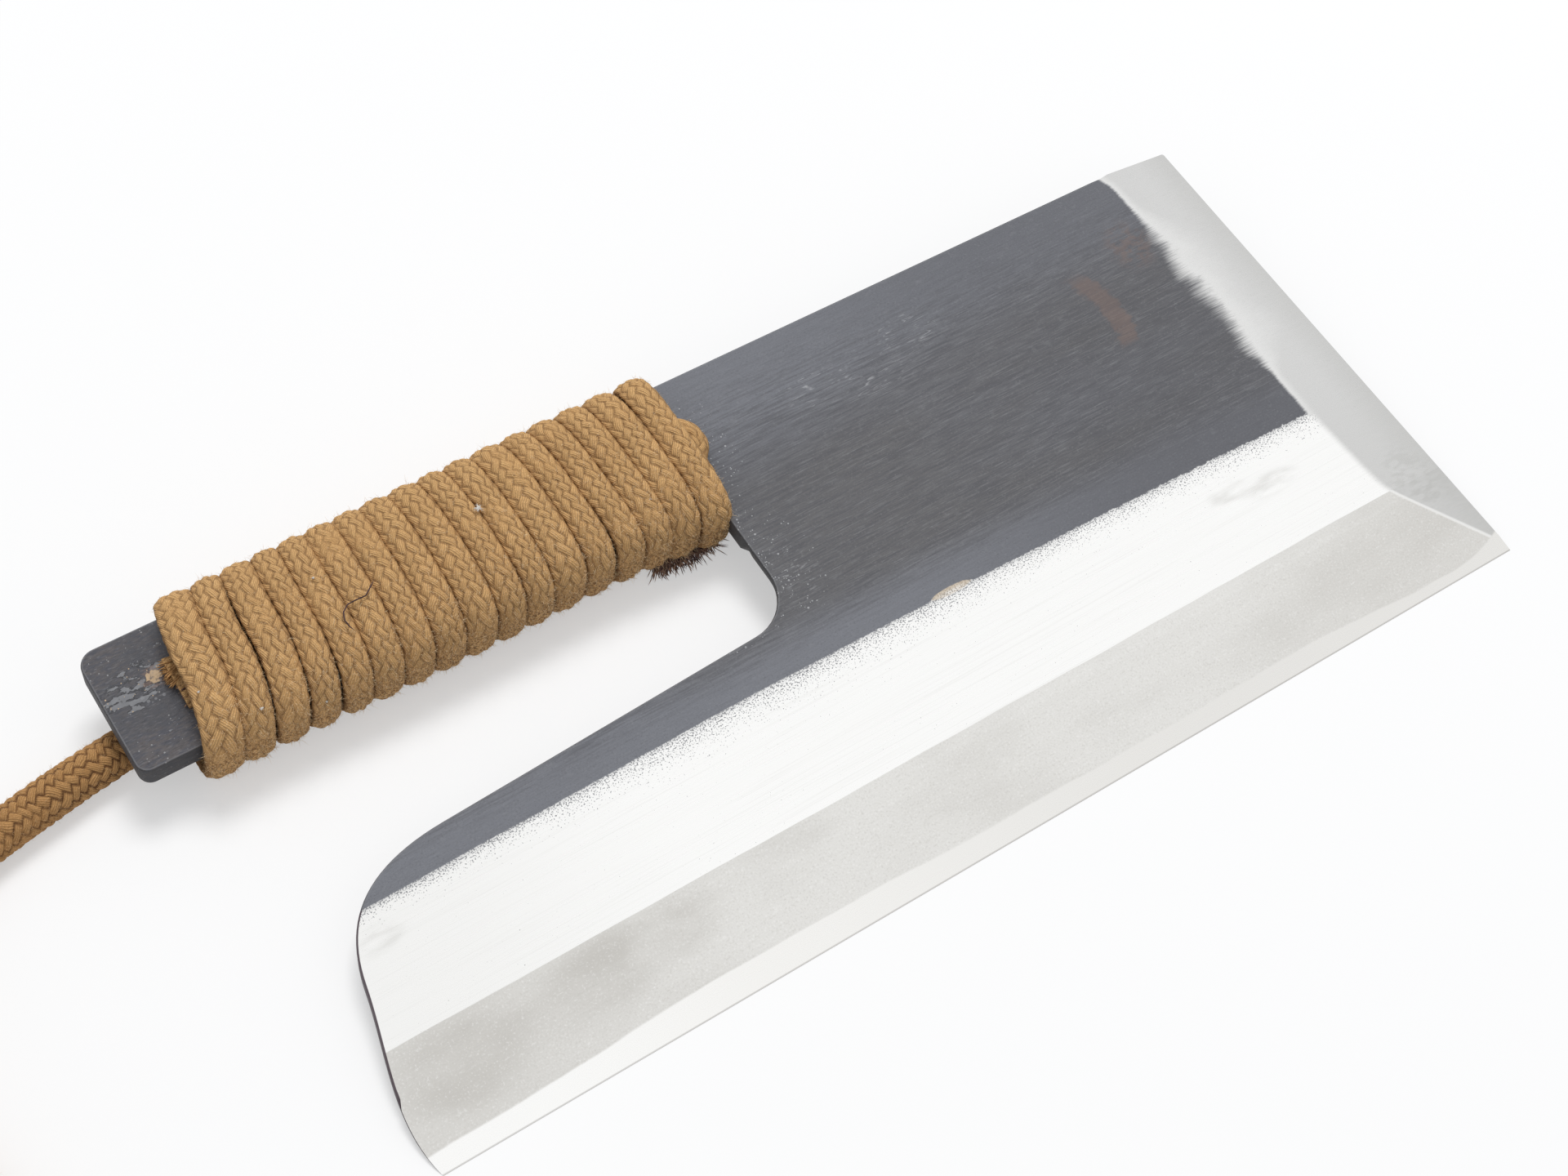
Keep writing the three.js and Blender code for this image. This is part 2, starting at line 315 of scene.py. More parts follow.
scale_blue = (0.158, 0.163, 0.182, 1)
scale_paler = (0.208, 0.216, 0.241, 1)
scale_brown = (0.136, 0.135, 0.140, 1)
scale_dark = (0.092, 0.093, 0.103, 1)
scale_pale = (0.31, 0.316, 0.333, 1)
dark_scale_and_wall_shade = (0.045, 0.046, 0.050, 1)
butt_grey = (0.090, 0.091, 0.107, 1)
butt_brown = (0.127, 0.117, 0.119, 1)
chalk = (0.62, 0.63, 0.64, 1)
rust = (0.222, 0.150, 0.124, 1)
rust_cream = (0.62, 0.45, 0.28, 1)
ochre = (0.56, 0.46, 0.34, 1)
polished_iron = (0.955, 0.955, 0.945, 1)
polish_shade = (0.72, 0.715, 0.695, 1)
blasted_iron = (0.775, 0.768, 0.745, 1)
blasted_shade = (0.575, 0.56, 0.53, 1)
bright_steel = (0.90, 0.893, 0.872, 1)
edge_contact_shadow = (0.36, 0.34, 0.32, 1)
ground_toe = (0.665, 0.665, 0.660, 1)
toe_shade = (0.52, 0.52, 0.505, 1)
ground_iron_wall_shade = (0.085, 0.060, 0.075, 1)

scale_line_crown = 47.2
scale_line_middle = 95
scale_line_reach = 117
scale_line_fall = 1.8
bevel_line = 22.1
burnished_line = 19.3
weld_line = 3.9
weld_swell = 1.4
weld_swell_middle = 66
weld_swell_reach = 38
weld_turns_up = 224
weld_turn_reach = 15
toe_flat_start = 222.9
toe_line_on_band = (223.2, 47, 0.075)
toe_line_on_bevel = (225.6, 22.3, 0.70)
toe_line_rounding = 1.5
smear_middle = (203.2, 85)
smear_bow = 0.024
rust_middle = (0.0, 103.7)


def blade_finish(name):
    material, start = new_finish(name)
    blade_coordinates = {
        "Vector": start.node("TexCoord", output="Object"),
        "Location": heel_point,
        "Rotation": (lean, 0, 0),
        "Scale": (MILLIMETRE,) * 3,
    }
    spot = start.node("Mapping", {"vector_type": "TEXTURE"}, blade_coordinates)
    u, v, _ = spot.parts()
    tilt = {"Vector": start.node("NewGeometry", output="Normal"), "Rotation": (-lean, 0, 0)}
    up = start.node("Mapping", {"vector_type": "NORMAL"}, tilt).parts()[2]
    upright = abs(up)

    # Forge scale, with brushed streaks, a brown cast in the middle of the face and rubbed spots.
    broad = spot.noise((0.012, 0.05, 0.05), 3.0)
    streak = spot.noise((0.11, 1.9, 1.9), 5.0, -0.03)
    fine = spot.noise((0.22, 4.4, 4.4), 4.0, 0.02)
    hair = spot.noise((0.12, 6.5, 6.5), 2.0, 0.05)
    mottle = spot.noise((0.55, 0.8, 0.8), 5.0)
    sand = spot.noise((2.4, 2.9, 2.9), 4.0)
    brushed = v.fade(49.0, 57.0) * v.fade(113.0, 96.0)
    brown = broad.fade(0.30, 0.62) + u.fade(150.0, 215.0) * 0.5
    brown = v.fade(104.0, 80.0) * v.fade(50.0, 60.0) * brown
    # Paler towards the heel, by the spine and above the shoulder, and darker towards the toe in the middle
    # of the face.
    paler_to_heel = u.fade(190.0, 120.0) * (v.fade(88.0, 103.0) + v.fade(62.0, 53.0) * 1.1)
    scale = (paler_to_heel * (0.55 + broad * 0.5)).over(scale_blue, scale_paler)
    scale = brown.over(scale, scale_brown)
    scale = (u.fade(140.0, 210.0) * v.fade(102.0, 84.0) * 0.36).over(scale, scale_dark)
    scale = (streak.fade(0.60, 0.34) * (0.12 + brushed * 0.50)).over(scale, scale_dark)
    scale = (fine.fade(0.50, 0.78) * (0.10 + brushed * 0.28)).over(scale, scale_pale)
    scale = (fine.fade(0.48, 0.28) * (0.15 + brushed * 0.42)).over(scale, scale_dark)
    scale = (hair.fade(0.66, 0.76) * brushed * 0.22).over(scale, chalk)
    scale = (mottle.fade(0.58, 0.74) * 0.16).over(scale, scale_pale)
    scale = (sand.fade(0.56, 0.76) * 0.30).over(scale, scale_pale)
    scale = (sand.fade(0.46, 0.28) * 0.35).over(scale, scale_dark)
    pits, which = spot.specks(1.15, 0.07, 0.24)
    near_notch = spot.spot(99, 60, 24, 7) + spot.spot(111, 72, 9, 17) + spot.spot(113, 97, 7, 15)
    scale = (pits * (near_notch * 0.60 + 0.02 - which).fade(0.0, 0.15) * 0.55).over(scale, chalk)
    dust, which_dust = spot.specks(0.45, 0.03, 0.14)
    dusty = near_notch.fade(0.0, 1.2) * mottle.fade(0.42, 0.62) * 0.75
    dusty = dusty + spot.spot(107.5, 70, 2.2, 14) * 0.45
    scale = (dust * (dusty - which_dust).fade(0.0, 0.1) * 0.75).over(scale, chalk)
    lines = 0.0
    for spacing, turn, crest in ((0.55, 0.75, 0.5), (0.55, -0.5, 0.52), (0.60, 1.25, 0.5)):
        lines = lines + abs(spot.noise((0.05, spacing, 0.3), 1.0, turn) - crest).fade(0.016, 0.0)
    lines = lines * mottle.fade(0.44, 0.60)
    scuffed = spot.spot(139, 98, 10, 5) + spot.spot(163, 101, 11, 6) + spot.spot(150, 93, 8, 5)
    scuffed = scuffed + spot.spot(150, 99, 24, 9) * 0.35 + spot.spot(112, 66, 6, 9) * 0.8
    scale = (lines * scuffed.fade(0.0, 1.0) * 0.36).over(scale, chalk)
    smear_u, smear_v = smear_middle
    from_smear = u + (v - smear_v) * (v - smear_v) * smear_bow - smear_u + (mottle - 0.5) * 4.5
    smear = from_smear.fade(-3.0, -1.6) * from_smear.fade(2.8, 1.6)
    smear = smear * v.fade(75.5, 77.5) * v.fade(96.5, 93.0)
    blotch = spot.spot(216.5, 96.5, 7.0, 8.0) * mottle.fade(0.42, 0.58)
    scale = ((smear + blotch * 0.9) * (0.10 + fine * 0.65)).over(scale, rust)

    # The bare butt is mottled rather than brushed, with flaked scale and a rust spot.
    rubbed = spot.noise((0.55, 1.6, 1.6), 6.0, 0.25)
    butt = rubbed.fade(0.36, 0.62).over(butt_grey, butt_brown)
    butt = (spot.noise((0.10, 0.10, 0.10), 2.0).fade(0.45, 0.65) * 0.7).over(butt, scale_dark)
    rubs = spot.noise((0.9, 3.6, 3.6), 4.0, 0.45)
    butt = (rubs.fade(0.54, 0.74) * 0.30).over(butt, scale_pale)
    butt = (rubs.fade(0.46, 0.30) * 0.42).over(butt, dark_scale_and_wall_shade)
    grit, which_grit = spot.specks(0.62, 0.04, 0.17)
    butt = (grit * (0.34 - which_grit).fade(0.0, 0.1) * 0.42).over(butt, chalk)
    lift = spot.noise((0.42, 0.85, 0.85), 6.0, 0.35)
    flaked = spot.spot(-4.8, 102.6, 8.0, 5.6) + spot.spot(-1.0, 105.5, 5.5, 3.0)
    flaking = lift + flaked.fade(0.0, 0.9) * 0.16 - 0.16
    flake = flaking.fade(0.515, 0.54)
    butt = (flaking.fade(0.46, 0.51) * flaked.fade(0.0, 0.3) * 0.75).over(butt, dark_scale_and_wall_shade)
    butt = (flake * (0.45 + mottle * 0.5)).over(butt, scale_pale)
    crumbs = flaked.fade(0.2, 0.9) * 0.55 + spot.spot(-0.4, 103.9, 3.6, 2.2) * 0.6
    butt = (grit * (crumbs - which_grit).fade(0.0, 0.12) * 0.9).over(butt, rust_cream)
    rust_spot = spot.spot(*rust_middle, 2.4, 2.0) + (spot.noise((1.3, 1.3, 1.3), 5.0) - 0.5) * 2.6
    rust_rim = spot.spot(*rust_middle, 3.2, 2.6).fade(0.0, 0.25)
    butt = (rust_rim * rubbed.fade(0.40, 0.62) * 0.55).over(butt, rust)
    butt = (rust_spot.fade(0.45, 0.80) * rust_rim * (0.45 + sand * 0.8)).over(butt, rust_cream)
    blister = spot.spot(-2.6, 100.2, 3.4, 2.2) * 1.2
    ring, which_ring = spot.specks(1.1, 0.22, 0.50)
    butt = (ring * (blister - which_ring).fade(0.0, 0.1) * 0.55).over(butt, scale_pale)
    on_butt = u.fade(6.0, 3.0)
    scale = on_butt.over(scale, butt)

    # The polished band: fine scratches nearly along the edge, a few smudges, pits by the forge scale.
    scratch = spot.noise((0.035, 4.5, 4.5), 3.0, -0.10)
    smudge = spot.noise((0.14, 0.55, 0.55), 5.0, -0.12)
    polish = (u.fade(70.0, 10.0) * 0.27).over(polished_iron, polish_shade)
    polish = (scratch.fade(0.50, 0.76) * 0.24).over(polish, polish_shade)
    smudged = spot.spot(205, 35.5, 10, 3.6) + spot.spot(10.5, 40.0, 7, 4.0) + spot.spot(196, 38, 7, 3)
    polish = (smudged.fade(0.0, 1.0) * smudge.fade(0.36, 0.70) * 0.62).over(polish, polish_shade)
    arch = (u - scale_line_middle) / scale_line_reach
    teeth = spot.noise((1.3, 0.35, 0.35), 3.0, 0.42)
    ragged = (teeth - 0.5) * (0.35 + u.fade(120.0, 215.0) * 0.9)
    chip = spot.spot(135.3, 47.6, 6.4, 1.5)
    scale_line = scale_line_crown - arch * arch * scale_line_fall
    below = scale_line + ragged + (broad - 0.5) * 1.6 + chip * 1.1 - v
    stipple = spot.noise((3.3, 3.3, 3.3), 2.0)
    patchy = spot.noise((0.10, 0.25, 0.25), 3.0) - 0.5
    stipple_reach = 5.6 + u.fade(15.0, 80.0) * 4.6 - u.fade(110.0, 170.0) * 2.4
    thinned = ((below + patchy * 2.2) / stipple_reach).fade(-0.35, 1.0)
    pitted = (stipple - 0.45 - thinned * 0.29).fade(0.0, 0.04)
    polish = (pitted * 0.80).over(polish, scale_blue)
    polish = (below.fade(1.2, 0.0) * 0.25).over(polish, scale_blue)
    polish = (chip.fade(0.05, 0.5) * below.fade(1.7, 0.3) * 0.75).over(polish, ochre)

    # The blasted bevel with its clouds, and the wavy line of the weld above the bright steel.
    cloud = spot.noise((0.028, 0.07, 0.07), 2.0)
    grain = spot.noise((2.6, 2.6, 2.6), 4.0)
    bevel = (cloud.fade(0.42, 0.70) * 0.35).over(blasted_iron, blasted_shade)
    puffs = spot.noise((0.06, 0.13, 0.13), 3.0, 0.2).fade(0.30, 0.68)
    clouds = spot.spot(46, 16.5, 26, 9) + spot.spot(12, 14.5, 18, 11)
    clouds = clouds + spot.spot(212, 11, 26, 12) * 0.45
    bevel = (clouds.fade(0.0, 1.1) * (0.25 + puffs * 0.65)).over(bevel, blasted_shade)
    bevel = (u.fade(75.0, 10.0) * 0.40 + u.fade(185.0, 232.0) * 0.34).over(bevel, blasted_shade)
    bevel = (grain.fade(0.48, 0.28) * 0.38).over(bevel, blasted_shade)
    bevel = (grain.fade(0.54, 0.74) * 0.34).over(bevel, polished_iron)
    above_line = (v - burnished_line - (broad - 0.5) * 2.0).fade(-0.2, 0.3) * u.fade(105.0, 150.0)
    bevel = (above_line * 0.09).over(bevel, polished_iron)
    bulge = (u - weld_swell_middle) / weld_swell_reach
    weld = weld_line + weld_swell / (1 + bulge * bulge * bulge * bulge) - u.fade(185.0, 222.0) * 1.6
    to_toe = start.sum("MAXIMUM", u - weld_turns_up, 0.0) / weld_turn_reach
    weld = weld + to_toe * to_toe * 2.4 + (cloud - 0.5) * 1.8 + (smudge - 0.5) * 0.5
    strip = (weld - v).fade(-0.2, 0.3)
    keen = (u.fade(70.0, 20.0) * 0.8).over(bright_steel, polished_iron)
    keen = (u.fade(50.0, 170.0) * 0.34).over(keen, blasted_shade)
    bevel = strip.over(bevel, keen)
    # A thin dark line along the very edge: a painted contact shadow where the edge meets the table.
    bevel = (v.fade(0.34, 0.14) * 0.5).over(bevel, edge_contact_shadow)

    # The satin flat across the toe, feathered into the forge scale by the wheel.
    feather = spot.noise((0.15, 4.0, 4.0), 5.0, 0.06)
    lobes = spot.noise((0.10, 0.15, 0.15), 2.0) - 0.5
    feathered = v.fade(106.0, 92.0) * v.fade(54.0, 66.0)
    corner = v.fade(109.0, 115.0) * 1.6
    onto_toe = u - toe_flat_start + corner - (feather - 0.5) * (0.8 + feathered * 4.4)
    onto_toe = (onto_toe - lobes * (1.0 + feathered * 5.0)) / (0.5 + feathered * 2.0)
    toe_grain = spot.noise((0.06, 2.2, 2.2), 3.0, 0.9)
    toe = (u.fade(230.0, 241.0) * 0.45 + (toe_grain - 0.5) * 0.30).over(ground_toe, toe_shade)
    toe = (onto_toe.fade(4.5, 0.0) * 0.4).over(toe, polished_iron)
    toe = (v.fade(60.0, 25.0) * 0.25).over(toe, toe_shade)
    toe_smudge = spot.spot(233, 22, 9, 11) * spot.noise((0.35, 0.9, 0.9), 4.0, 0.7).fade(0.42, 0.62)
    toe = (toe_smudge * 0.55).over(toe, toe_shade)

    # Where one finish gives way to the next.
    ridge = (spot.noise((0.05, 0.05, 0.05)) - 0.5) * 0.5
    on_band = below.fade(-0.10, 0.18)
    on_bevel = (bevel_line + ridge - v).fade(-0.08, 0.08)
    on_two_lines = (toe_line_on_band, toe_line_on_bevel)
    over_band, over_bevel = (place + (height - v) * slope for place, height, slope in on_two_lines)
    apart = over_band - over_bevel
    toe_line = over_band + over_bevel + start.sum("SQRT", apart * apart + toe_line_rounding)
    toe_line = toe_line / 2
    low_toe = ((u - toe_line + (feather - 0.5) * 0.8) / (1.1 - on_bevel * 0.75)).fade(-1.0, 1.0)
    high_toe = onto_toe.fade(-1.0, 1.0) * below.fade(0.9, 0.3)
    low_toe = low_toe * below.fade(-0.3, 0.3) * (1 - strip)
    on_toe = start.sum("MINIMUM", high_toe + low_toe, 1.0)
    upper_side = up.fade(-0.5, -0.3)
    band = on_band * upper_side
    colour = band.over(scale, polish)
    colour = (on_bevel * upper_side).over(colour, bevel)
    colour = (on_toe * upper_side).over(colour, toe)
    # A bright line on the bevel along the boundary of the toe flat: a painted highlight.
    crease_highlight = abs(u - toe_line).fade(0.7, 0.1) * on_bevel * (1 - strip) * upper_side
    colour = (crease_highlight * 0.6).over(colour, polished_iron)

    # Walls of the outline, painted darker than the faces as shade: forge scale round the tang and the
    # notch, dull ground iron at heel and toe.
    heel = u.fade(14.0, 12.0) * v.fade(49.0, 46.0)
    wall = start.sum("MAXIMUM", upright.fade(0.80, 0.55), upright.fade(0.985, 0.94) * heel)
    bare = (band + on_toe * upper_side).fade(0.3, 0.7)
    colour = (wall * (1 - bare) * (1.05 - mottle * 0.5 - sand * 0.25)).over(colour, dark_scale_and_wall_shade)
    colour = (wall * bare * 0.95).over(colour, ground_iron_wall_shade)
    # A pale line on the rounded arrises of the scale: a painted highlight.
    arris_highlight = upright.fade(0.995, 0.95) * upright.fade(0.70, 0.90) * (1 - bare)
    colour = (arris_highlight * (0.10 + mottle * 0.45)).over(colour, scale_pale)

    worn = bare * (1 - wall)
    rough_scale = 0.52 + (streak - 0.5) * 0.30 + (mottle - 0.5) * 0.2 + wall * 0.15
    rough_bare = 0.30 + on_bevel * (1 - strip) * 0.20 + (scratch - 0.5) * 0.25
    roughness = rough_scale + (rough_bare - rough_scale) * worn
    relief = mottle * 0.5 + streak * 0.4 + flake * on_butt * 0.9 + rubbed * on_butt * 0.6 - pitted * 0.5
    relief = relief * (1 - worn * 0.75) + scratch * 0.25 * worn + grain * on_bevel * 0.30
    bump = start.node("Bump", {}, {"Height": relief, "Strength": 0.5, "Distance": 0.00012})
    coat(material, base_color=colour, roughness=roughness, metallic=0.30 + worn * 0.70, normal=bump)
    return material


# Soft-iron body: blade, finger notch and tang in one forging. The tang is left thicker than the blade,
# its long edges are broken for the cord, and a step on the back takes the layer of hard steel.
steel_thickness = 0.5
steel_height = 40
steel_step = 0.1
weld_height = (steel_thickness - edge_land) * bevel_height / (bevel_thickness - edge_land)
tang_drop = 1.5
tang_ramp = 12
forged_rounding = 0.45
tang_rounding = 1.2
notch_undercut = 2.5
notch_corner = 96
notch_floor_fall = 0.7
thin_below = 14
margin = 0.1
on_plane = 1e-4
merged_within = 1e-3
level_rise = 0.9
wall_rise = 0.4
flat_rise = 0.97


def score_back(bm, point, normal):
    """Cuts a line across the flat back and takes nothing off."""
    back = [face for face in bm.faces if face.normal.z < -level_rise]
    rims = dict.fromkeys(piece for face in back for piece in (*face.edges, *face.verts))
    bmesh.ops.bisect_plane(
        bm, geom=[*back, *rims], dist=cut_tolerance, plane_co=point, plane_no=normal
    )


def bare_iron():
    bm = forged_blank()
    grind(bm, (0, weld_height, 0), (0, -1, 0))
    for u in (notch_wall - tang_ramp, notch_wall):
        score_back(bm, (u, 0, 0), (1, 0, 0))
    for v in (steel_height, steel_height - steel_step):
        score_back(bm, (0, v, 0), (0, 1, 0))
    for vert in bm.verts:
        u, v, z = vert.co
        on_back = abs(z) < on_plane
        if on_back and v < steel_height - steel_step / 2:
            vert.co.z = steel_thickness
        if on_back and v > tang_low_side - margin and u < notch_wall - tang_ramp + margin:
            vert.co.z = -tang_drop
    bmesh.ops.remove_doubles(bm, verts=bm.verts[:], dist=merged_within)
    bmesh.ops.recalc_face_normals(bm, faces=bm.faces[:])

    def arrises(upper, inside):
        """Edges between a wall and the upper or lower face, along one stretch of the outline."""
        found = []
        for edge in bm.edges:
            if len(edge.link_faces) != 2:
                continue
            rises = [face.normal.z if upper else -face.normal.z for face in edge.link_faces]
            middle = (edge.verts[0].co + edge.verts[1].co) / 2
            if min(map(abs, rises)) < wall_rise and max(rises) > level_rise and inside(middle):
                found.append(edge)
        return found

    def is_rounded(middle):
        return middle.x < sharp_beyond and middle.y > thin_below

    def is_tang(middle):
        return middle.x < notch_wall and middle.y > tang_low_side - margin

    def is_notch_wall(middle):
        in_corner = notch_corner < middle.x < notch_wall + margin
        return in_corner and notch_floor - notch_floor_fall < middle.y < undercut_below

    for upper, inside, offset in (
        (True, is_rounded, forged_rounding),
        (False, is_tang, tang_rounding),
        (False, is_notch_wall, notch_undercut),
    ):
        bmesh.ops.bevel(
            bm, geom=arrises(upper, inside), offset=offset, affect="EDGES",
            segments=3, profile=0.5, material=-1, clamp_overlap=False,
        )
    for face in bm.faces:
        face.smooth = abs(face.normal.z) < flat_rise
    return bm


forged_iron_finish = blade_finish("forged_iron_finish")
finished_piece("blade_iron", bare_iron(), forged_iron_finish, "blade_body")


# Hard steel: a thin layer forge-welded under the bevel. Its rim is the cutting edge, and on the flat
# back it runs a third of the way up the blade.
def steel_layer():
    bm = forged_blank()
    grind(bm, (0, 0, steel_thickness), (0, 0, 1))
    grind(bm, (0, steel_height, 0), (0, 1, 0))
    for face in bm.faces:
        face.smooth = abs(face.normal.z) < level_rise
    return bm


finished_piece("cutting_steel", steel_layer(), forged_iron_finish, "edge_steel")


# Grip cord: one braided cotton cord, ten strands each way, wound seventeen times tight round the tang
# so that the turns touch. It flattens under its own pull, and neither glue nor pin holds it.
grip_middle = tang_low_side + tang_height / 2
winding_middle = 1.045
winding_half_height = 7.995
winding_half_width = 15.1
winding_squareness = 3.4
winding_start = 3.6
turn_widths = (7.4, 5.65, 6.3, 5.3, 5.8, 6.1, 6.0, 6.2, 6.4, 5.7, 5.7, 7.0, 5.7, 5.9, 6.1, 6.5, 6.3)
turn_gaps = (0, 0.55, 0.2) + (0,) * 14
edge_side_lean = {7: 1.6, 24: 1.2, 30: 0.4, 47: 0, 78: -1.1, 88: -2.1, 97: -1.2, 105: -1.2}
spine_side_lean = {
    7: 1.2, 17: 1.1, 24: 0.2, 30: 0.4, 41: -0.6, 59: -1.6, 78: -2.2, 100: -1.9, 105: -0.9,
}
edge_side_bulge = {20: 0.6, 45: 1.5, 60: 1.5, 80: 1.3, 90: 1.8, 98: 2.5, 104: 3.4}
spine_side_bulge = 0.3
tucked_under = 0.07
pressed_together = 1.06
cord_thickness = 4.2
edge_side_thickness = 4.0
spine_side_thickness = 3.0
strands_each_way = 10
other_set = 100.5
wound_lay = 25.5
plait_relief = 0.58
grip_rings = 2880
grip_sides = 34
seam_gap = 2e-8
cotton_crown = (0.87, 0.545, 0.245, 1)
cotton_dull = (0.700, 0.423, 0.184, 1)
cotton_dark = (0.420, 0.236, 0.100, 1)
cotton_shade_and_tangle = (0.205, 0.108, 0.050, 1)
cotton_pale = (0.83, 0.61, 0.35, 1)


def cotton_finish(name, dye_bath=(1, 1, 1, 1), worn_and_flank_shaded=False):
    """Dyed cotton: yarn lines in each plait, painted shade in the gaps between plaits and, on a winding,
    on the flanks of its turns, uneven dye and loose fibres.
    """
    material, start = new_finish(name)
    along, around, _ = start.node("UVMap", {"uv_map": "braid"}).parts()
    one_way = (around - along) * strands_each_way
    other_way = (around + along) * strands_each_way
    one_strand = start.sum("FLOOR", one_way)
    other_strand = start.sum("FLOOR", other_way)
    one_part = one_way - one_strand
    other_part = other_way - other_strand
    turn_over = start.sum("FLOORED_MODULO", one_strand + other_strand, 4.0)
    on_top = start.sum("LESS_THAN", turn_over, 2.0)
    across = other_part + (one_part - other_part) * on_top - 0.5
    run = (turn_over - 2 + one_part + (2 + other_part - one_part) * on_top) / 2
    arched = start.sum("SINE", run * math.pi)
    crown = start.sum("SQRT", 1 - across * across * 3.9) * start.sum("SQRT", arched)
    strand = other_strand + other_set + (one_strand - other_strand - other_set) * on_top
    number = start.sum("FLOORED_MODULO", strand, 2.0 * strands_each_way)
    number = number + start.sum("FLOOR", along * 3)
    dye = start.node("TexWhiteNoise", {"noise_dimensions": "1D"}, {"W": number})
    place = start.node("TexCoord", output="Object")
    patch = place.noise((130.0,) * 3, 3.0)
    fibre = place.noise((4200.0,) * 3, 4.0)
    tangle = place.noise((2300.0,) * 3, 3.0)
    wander = place.noise((900.0,) * 3, 2.0) - 0.5
    yarn = across * 4.3 + run * 0.8 + wander * 0.9
    yarn = start.sum("COSINE", yarn * (2 * math.pi)) * 0.5 + 0.5
    fuzzy = fibre.fade(0.40, 0.62)
    plain = 1 - patch.fade(0.50, 0.72) * 0.45
    worn = 0.0
    gap_shade_strength = 1.6
    if worn_and_flank_shaded:
        worn = place.parts()[2].fade(0.0140, 0.0085)
        plain = plain * (1 - worn * 0.65)
        # Painted shade on the flanks of each turn, away from its crown and down into the grooves between
        # turns.
        flank_shade = abs(around - 0.5 + (patch - 0.5) * 0.10).fade(0.12, 0.25) * 0.62
        gap_shade_strength = 1.0
    colour = ((patch - 0.40) * 1.5 + (dye - 0.5) * 0.7).over(cotton_crown, cotton_dull)
    colour = ((1 - yarn) * (0.30 + plain * 0.42)).over(colour, cotton_dark)
    colour = ((1 - fuzzy) * (0.80 - plain * 0.42)).over(colour, cotton_dark)
    # Painted shade where each plait dips under the next and along its sides.
    ends = arched.fade(0.60, 0.05) * (0.25 + tangle * 0.8)
    sides = crown.fade(0.50, 0.0) * (wander + 0.60)
    gap_shade = start.sum("MAXIMUM", ends, sides) * plain * gap_shade_strength
    colour = start.sum("MINIMUM", gap_shade, 1.0).over(colour, cotton_shade_and_tangle)
    if worn_and_flank_shaded:
        colour = flank_shade.over(colour, cotton_shade_and_tangle)
        colour = (worn * tangle.fade(0.56, 0.40) * 0.78).over(colour, cotton_shade_and_tangle)
        colour = (worn * tangle.fade(0.57, 0.70) * 0.50).over(colour, cotton_pale)
    colour = (fibre.fade(0.58, 0.76) * 0.40).over(colour, cotton_pale)
    colour = start.mixed(1.0, colour, dye_bath, "MULTIPLY")
    relief = crown * plain * 0.8 + yarn * plain * 0.34 + fibre * 0.45 + tangle * worn * 0.6
    bump = start.node("Bump", {}, {"Height": relief, "Strength": 0.7, "Distance": 0.0004})
    coat(material, base_color=colour, roughness=0.9, specular_ior_level=0.15, normal=bump)
    return material


def plait_height(along, around):
    """Height of a two-over-two braid: 0 in the gaps, 1 on the crown of a plait."""
    one_way = strands_each_way * (around - along)
    other_way = strands_each_way * (around + along)
    turn_over = np.mod(np.floor(one_way) + np.floor(other_way), 4)
    on_top = turn_over < 2
    across = np.where(on_top, one_way % 1, other_way % 1) - 0.5
    run = np.where(on_top, turn_over + other_way % 1, turn_over - 2 + one_way % 1) / 2
    return np.sqrt(1 - (2 * across) ** 2) * np.sqrt(np.sin(np.pi * run))


def unit(vectors):
    return vectors / np.linalg.norm(vectors, axis=-1, keepdims=True)


def travelled(path):
    """Length of the way to each point of a path."""
    return np.concatenate([[0], np.cumsum(np.linalg.norm(np.diff(path, axis=0), axis=1))])


def flat_sheet(name, rings, sides):
    """A sheet of quads to be rolled up, with each vertex's ring and its place round the ring."""
    bm = bmesh.new()
    bmesh.ops.create_grid(bm, x_segments=rings - 1, y_segments=sides, size=1)
    mesh = mesh_from(name, bm)
    flat = np.empty(3 * len(mesh.vertices))
    mesh.vertices.foreach_get("co", flat)
    flat = (flat.reshape(-1, 3) + 1) / 2
    ring = np.rint(flat[:, 0] * (rings - 1)).astype(int)
    side = np.rint(flat[:, 1] * sides).astype(int)
    return mesh, ring, side


def rolled_up(mesh, points, place, material, owner):
    """Moves the sheet's vertices into place, parts its strands, joins the seams and closes the ends."""
    in_frame = points @ np.array(place.to_3x3()).T + np.array(place.translation)
    in_frame[:, 2] = np.maximum(in_frame[:, 2], 0)
    mesh.vertices.foreach_set("co", in_frame.ravel())
    bm = bmesh.new()
    bm.from_mesh(mesh)
    between = [face for face in bm.faces if len({owner[vert.index] for vert in face.verts}) > 1]
    bmesh.ops.delete(bm, geom=between, context="FACES")
    bmesh.ops.remove_doubles(bm, verts=bm.verts[:], dist=seam_gap)
    bmesh.ops.holes_fill(bm, edges=[edge for edge in bm.edges if edge.is_boundary], sides=0)
    bmesh.ops.recalc_face_normals(bm, faces=bm.faces[:])
    bm.to_mesh(mesh)
    bm.free()
    mesh.shade_smooth()
    mesh.materials.append(material)
    piece = linked(mesh.name, mesh)
    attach(piece, "root")
    return piece


